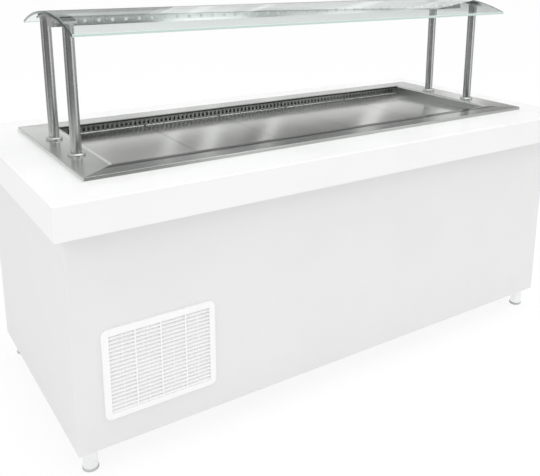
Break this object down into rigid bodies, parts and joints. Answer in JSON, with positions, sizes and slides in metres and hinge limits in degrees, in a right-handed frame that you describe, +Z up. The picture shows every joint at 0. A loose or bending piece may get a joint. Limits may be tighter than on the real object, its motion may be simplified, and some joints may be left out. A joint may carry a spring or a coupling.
{
  "type": "refrigerated display case",
  "caption": "Free-standing refrigerated salad bar: white cabinet with vent grille, thick worktop, shallow stainless cold well and a lit curved glass canopy on polished posts.",
  "frame": {"origin": "on the floor under the middle of the worktop", "axes": "+X along the case with the vent grille at -X, customers at -Y and the service door at +Y, +Z up"},
  "size_m": [2.15, 1.06, 1.354],
  "materials": {
    "white_board": "white laminate, satin",
    "polished_steel": "polished",
    "satin_steel": "satin",
    "foot_steel": "satin",
    "frame_paint": "painted",
    "fin_aluminium": "bare",
    "copper": "bare copper",
    "compressor_paint": "black paint",
    "motor_metal": "cast, dull",
    "fan_plastic": "matte",
    "grille_plastic": "semi-gloss",
    "foam": "rigid foam",
    "rubber": "matte",
    "drain_plastic": "matte",
    "lever_plastic": "semi-gloss",
    "control_steel": "fine texture",
    "control_plastic": "semi-gloss",
    "clear_glass": "clear, faint green edge",
    "lens_plastic": "translucent"
  },
  "bodies": {
    "cabinet": {"base_frame": "frame_paint", "cabinet_floor": "satin_steel", "cable_gland": "drain_plastic", "canopy_cradles": "polished_steel", "compressor": "compressor_paint", "compressor_mounts": "rubber", "condenser_fan_motor": "motor_metal", "condenser_fins": "fin_aluminium", "condenser_tubes": "copper", "control_box": "control_steel", "door_hinges": "satin_steel", "drain_pipe": "drain_plastic", "drain_valve": "drain_plastic", "evaporator_fan_motors": "motor_metal", "evaporator_fins": "fin_aluminium", "evaporator_tubes": "copper", "fan_shroud": "satin_steel", "flange_stiffener": "white_board", "front_air_panel": "satin_steel", "front_panel": "white_board", "glass_canopy": "clear_glass", "glass_pads": "rubber", "left_end_panel": "white_board", "lens_strips": "lens_plastic", "light_channel": "satin_steel", "light_diffuser": "lens_plastic", "post_collars": "polished_steel", "post_front_left": "polished_steel", "post_front_right": "polished_steel", "post_nuts": "satin_steel", "post_rear_left": "polished_steel", "post_rear_right": "polished_steel", "rear_air_panel": "satin_steel", "rear_panel": "white_board", "refrigerant_lines": "copper", "right_end_panel": "white_board", "unit_tray": "satin_steel", "upper_frame": "frame_paint", "well_flange": "satin_steel", "well_insulation": "foam", "well_tank": "satin_steel", "worktop": "white_board"},
    "evaporator_fan_1": {"evaporator_fan_1": "fan_plastic"},
    "evaporator_fan_2": {"evaporator_fan_2": "fan_plastic"},
    "floor_plate_1": {"floor_plate_1": "satin_steel"},
    "floor_plate_2": {"floor_plate_2": "satin_steel"},
    "floor_plate_3": {"floor_plate_3": "satin_steel"},
    "floor_plate_4": {"floor_plate_4": "satin_steel"},
    "floor_plate_5": {"floor_plate_5": "satin_steel"},
    "foot_front_left": {"foot_front_left": "foot_steel"},
    "foot_front_right": {"foot_front_right": "foot_steel"},
    "foot_rear_left": {"foot_rear_left": "foot_steel"},
    "foot_rear_right": {"foot_rear_right": "foot_steel"},
    "vent_grille": {"vent_grille": "grille_plastic"},
    "condenser_fan": {"condenser_fan": "fan_plastic"},
    "thermostat_knob": {"thermostat_knob": "control_plastic"},
    "power_switch": {"power_switch": "control_plastic"},
    "light_switch": {"light_switch": "control_plastic"},
    "drain_lever": {"drain_lever": "lever_plastic"},
    "service_door": {"service_door": "white_board"}
  },
  "joints": [
    {"name": "floor_plate_1_lift", "type": "slide", "parent": "cabinet", "child": "floor_plate_1", "axis": [0, 0, 1], "range_m": [0, 0.15]},
    {"name": "floor_plate_2_lift", "type": "slide", "parent": "cabinet", "child": "floor_plate_2", "axis": [0, 0, 1], "range_m": [0, 0.15]},
    {"name": "floor_plate_3_lift", "type": "slide", "parent": "cabinet", "child": "floor_plate_3", "axis": [0, 0, 1], "range_m": [0, 0.15]},
    {"name": "floor_plate_4_lift", "type": "slide", "parent": "cabinet", "child": "floor_plate_4", "axis": [0, 0, 1], "range_m": [0, 0.15]},
    {"name": "floor_plate_5_lift", "type": "slide", "parent": "cabinet", "child": "floor_plate_5", "axis": [0, 0, 1], "range_m": [0, 0.15]},
    {"name": "foot_front_left_height", "type": "slide", "parent": "cabinet", "child": "foot_front_left", "axis": [0, 0, -1], "range_m": [0, 0.03]},
    {"name": "foot_front_right_height", "type": "slide", "parent": "cabinet", "child": "foot_front_right", "axis": [0, 0, -1], "range_m": [0, 0.03]},
    {"name": "foot_rear_left_height", "type": "slide", "parent": "cabinet", "child": "foot_rear_left", "axis": [0, 0, -1], "range_m": [0, 0.03]},
    {"name": "foot_rear_right_height", "type": "slide", "parent": "cabinet", "child": "foot_rear_right", "axis": [0, 0, -1], "range_m": [0, 0.03]},
    {"name": "evaporator_fan_1_spin", "type": "hinge", "parent": "cabinet", "child": "evaporator_fan_1", "pos_m": [-0.35, 0.257, 0.737], "axis": [0, 1, 0], "continuous": true},
    {"name": "evaporator_fan_2_spin", "type": "hinge", "parent": "cabinet", "child": "evaporator_fan_2", "pos_m": [0.35, 0.257, 0.737], "axis": [0, 1, 0], "continuous": true},
    {"name": "condenser_fan_spin", "type": "hinge", "parent": "cabinet", "child": "condenser_fan", "pos_m": [-0.7595, -0.314, 0.266], "axis": [0, 1, 0], "continuous": true},
    {"name": "grille_pull", "type": "slide", "parent": "cabinet", "child": "vent_grille", "axis": [0, -1, 0], "range_m": [0, 0.05]},
    {"name": "thermostat_turn", "type": "hinge", "parent": "cabinet", "child": "thermostat_knob", "pos_m": [-0.716, 0.448, 0.7], "axis": [0, -1, 0], "range_deg": [0, 270]},
    {"name": "power_rock", "type": "hinge", "parent": "cabinet", "child": "power_switch", "pos_m": [-0.881, 0.443, 0.7], "axis": [1, 0, 0], "range_deg": [0, 24]},
    {"name": "light_rock", "type": "hinge", "parent": "cabinet", "child": "light_switch", "pos_m": [-0.836, 0.443, 0.7], "axis": [1, 0, 0], "range_deg": [0, 24]},
    {"name": "drain_lever_turn", "type": "hinge", "parent": "cabinet", "child": "drain_lever", "pos_m": [-0.495, 0.241, 0.45], "axis": [0, 1, 0], "range_deg": [0, 90]},
    {"name": "door_swing", "type": "hinge", "parent": "cabinet", "child": "service_door", "pos_m": [-0.95125, 0.453, 0.37], "axis": [0, 0, 1], "range_deg": [0, 110]}
  ]
}
